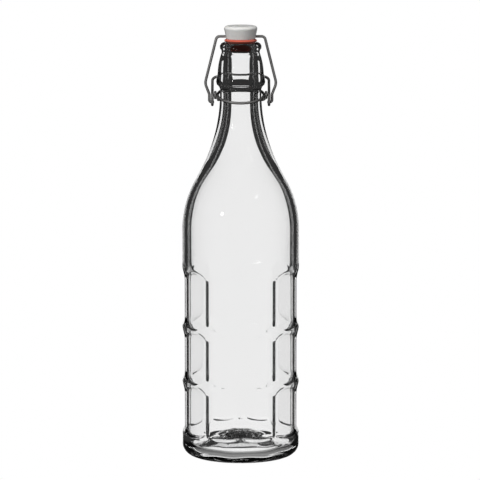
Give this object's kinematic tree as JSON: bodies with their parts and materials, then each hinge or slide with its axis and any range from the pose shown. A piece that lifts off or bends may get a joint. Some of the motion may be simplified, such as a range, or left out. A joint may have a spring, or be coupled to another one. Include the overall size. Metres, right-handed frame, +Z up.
{
  "type": "swing-top glass bottle",
  "caption": "Tall clear-glass swing-top bottle with a panelled body, white stopper, red rubber gasket and a hinged steel wire closure.",
  "frame": {"origin": "middle of the base, on the surface it stands on", "axes": "+Z up the bottle's axis; -Y the front; +Y the side the lever lies on; X along the closure's pivot pins"},
  "size_m": [0.086, 0.086, 0.3175],
  "materials": {
    "clear_glass": "clear, fire-polished, gently wavy",
    "white_stopper": "moulded, soft gloss",
    "red_rubber": "smooth matte rubber",
    "steel_wire": "drawn wire, bright"
  },
  "bodies": {
    "bottle": {"bottle": "clear_glass"},
    "neck_wire": {"neck_wire": "steel_wire"},
    "lever": {"lever": "steel_wire"},
    "bail": {"bail": "steel_wire"},
    "stopper": {"stopper": "white_stopper", "gasket": "red_rubber"}
  },
  "joints": [
    {"name": "neck_wire_rock", "type": "hinge", "parent": "bottle", "child": "neck_wire", "pos_m": [0, 0.01636, 0.27095], "axis": [-1, 0, 0], "range_deg": [0, 14]},
    {"name": "lever_swing", "type": "hinge", "parent": "neck_wire", "child": "lever", "pos_m": [0, 0, 0.2669], "axis": [-1, 0, 0], "range_deg": [0, 54.5]},
    {"name": "bail_swing", "type": "hinge", "parent": "lever", "child": "bail", "pos_m": [0, 0.00018, 0.2617], "axis": [-1, 0, 0], "range_deg": [-62.5, 0]},
    {"name": "stopper_tilt", "type": "hinge", "parent": "bail", "child": "stopper", "pos_m": [0, 0, 0.3099], "axis": [-1, 0, 0], "range_deg": [-6.5, 0]}
  ],
  "couplings": [
    {"joint": "neck_wire_rock", "follows": "lever_swing", "ratio": 0.25505},
    {"joint": "bail_swing", "follows": "lever_swing", "ratio": -1.1413},
    {"joint": "stopper_tilt", "follows": "lever_swing", "ratio": -0.11376}
  ]
}
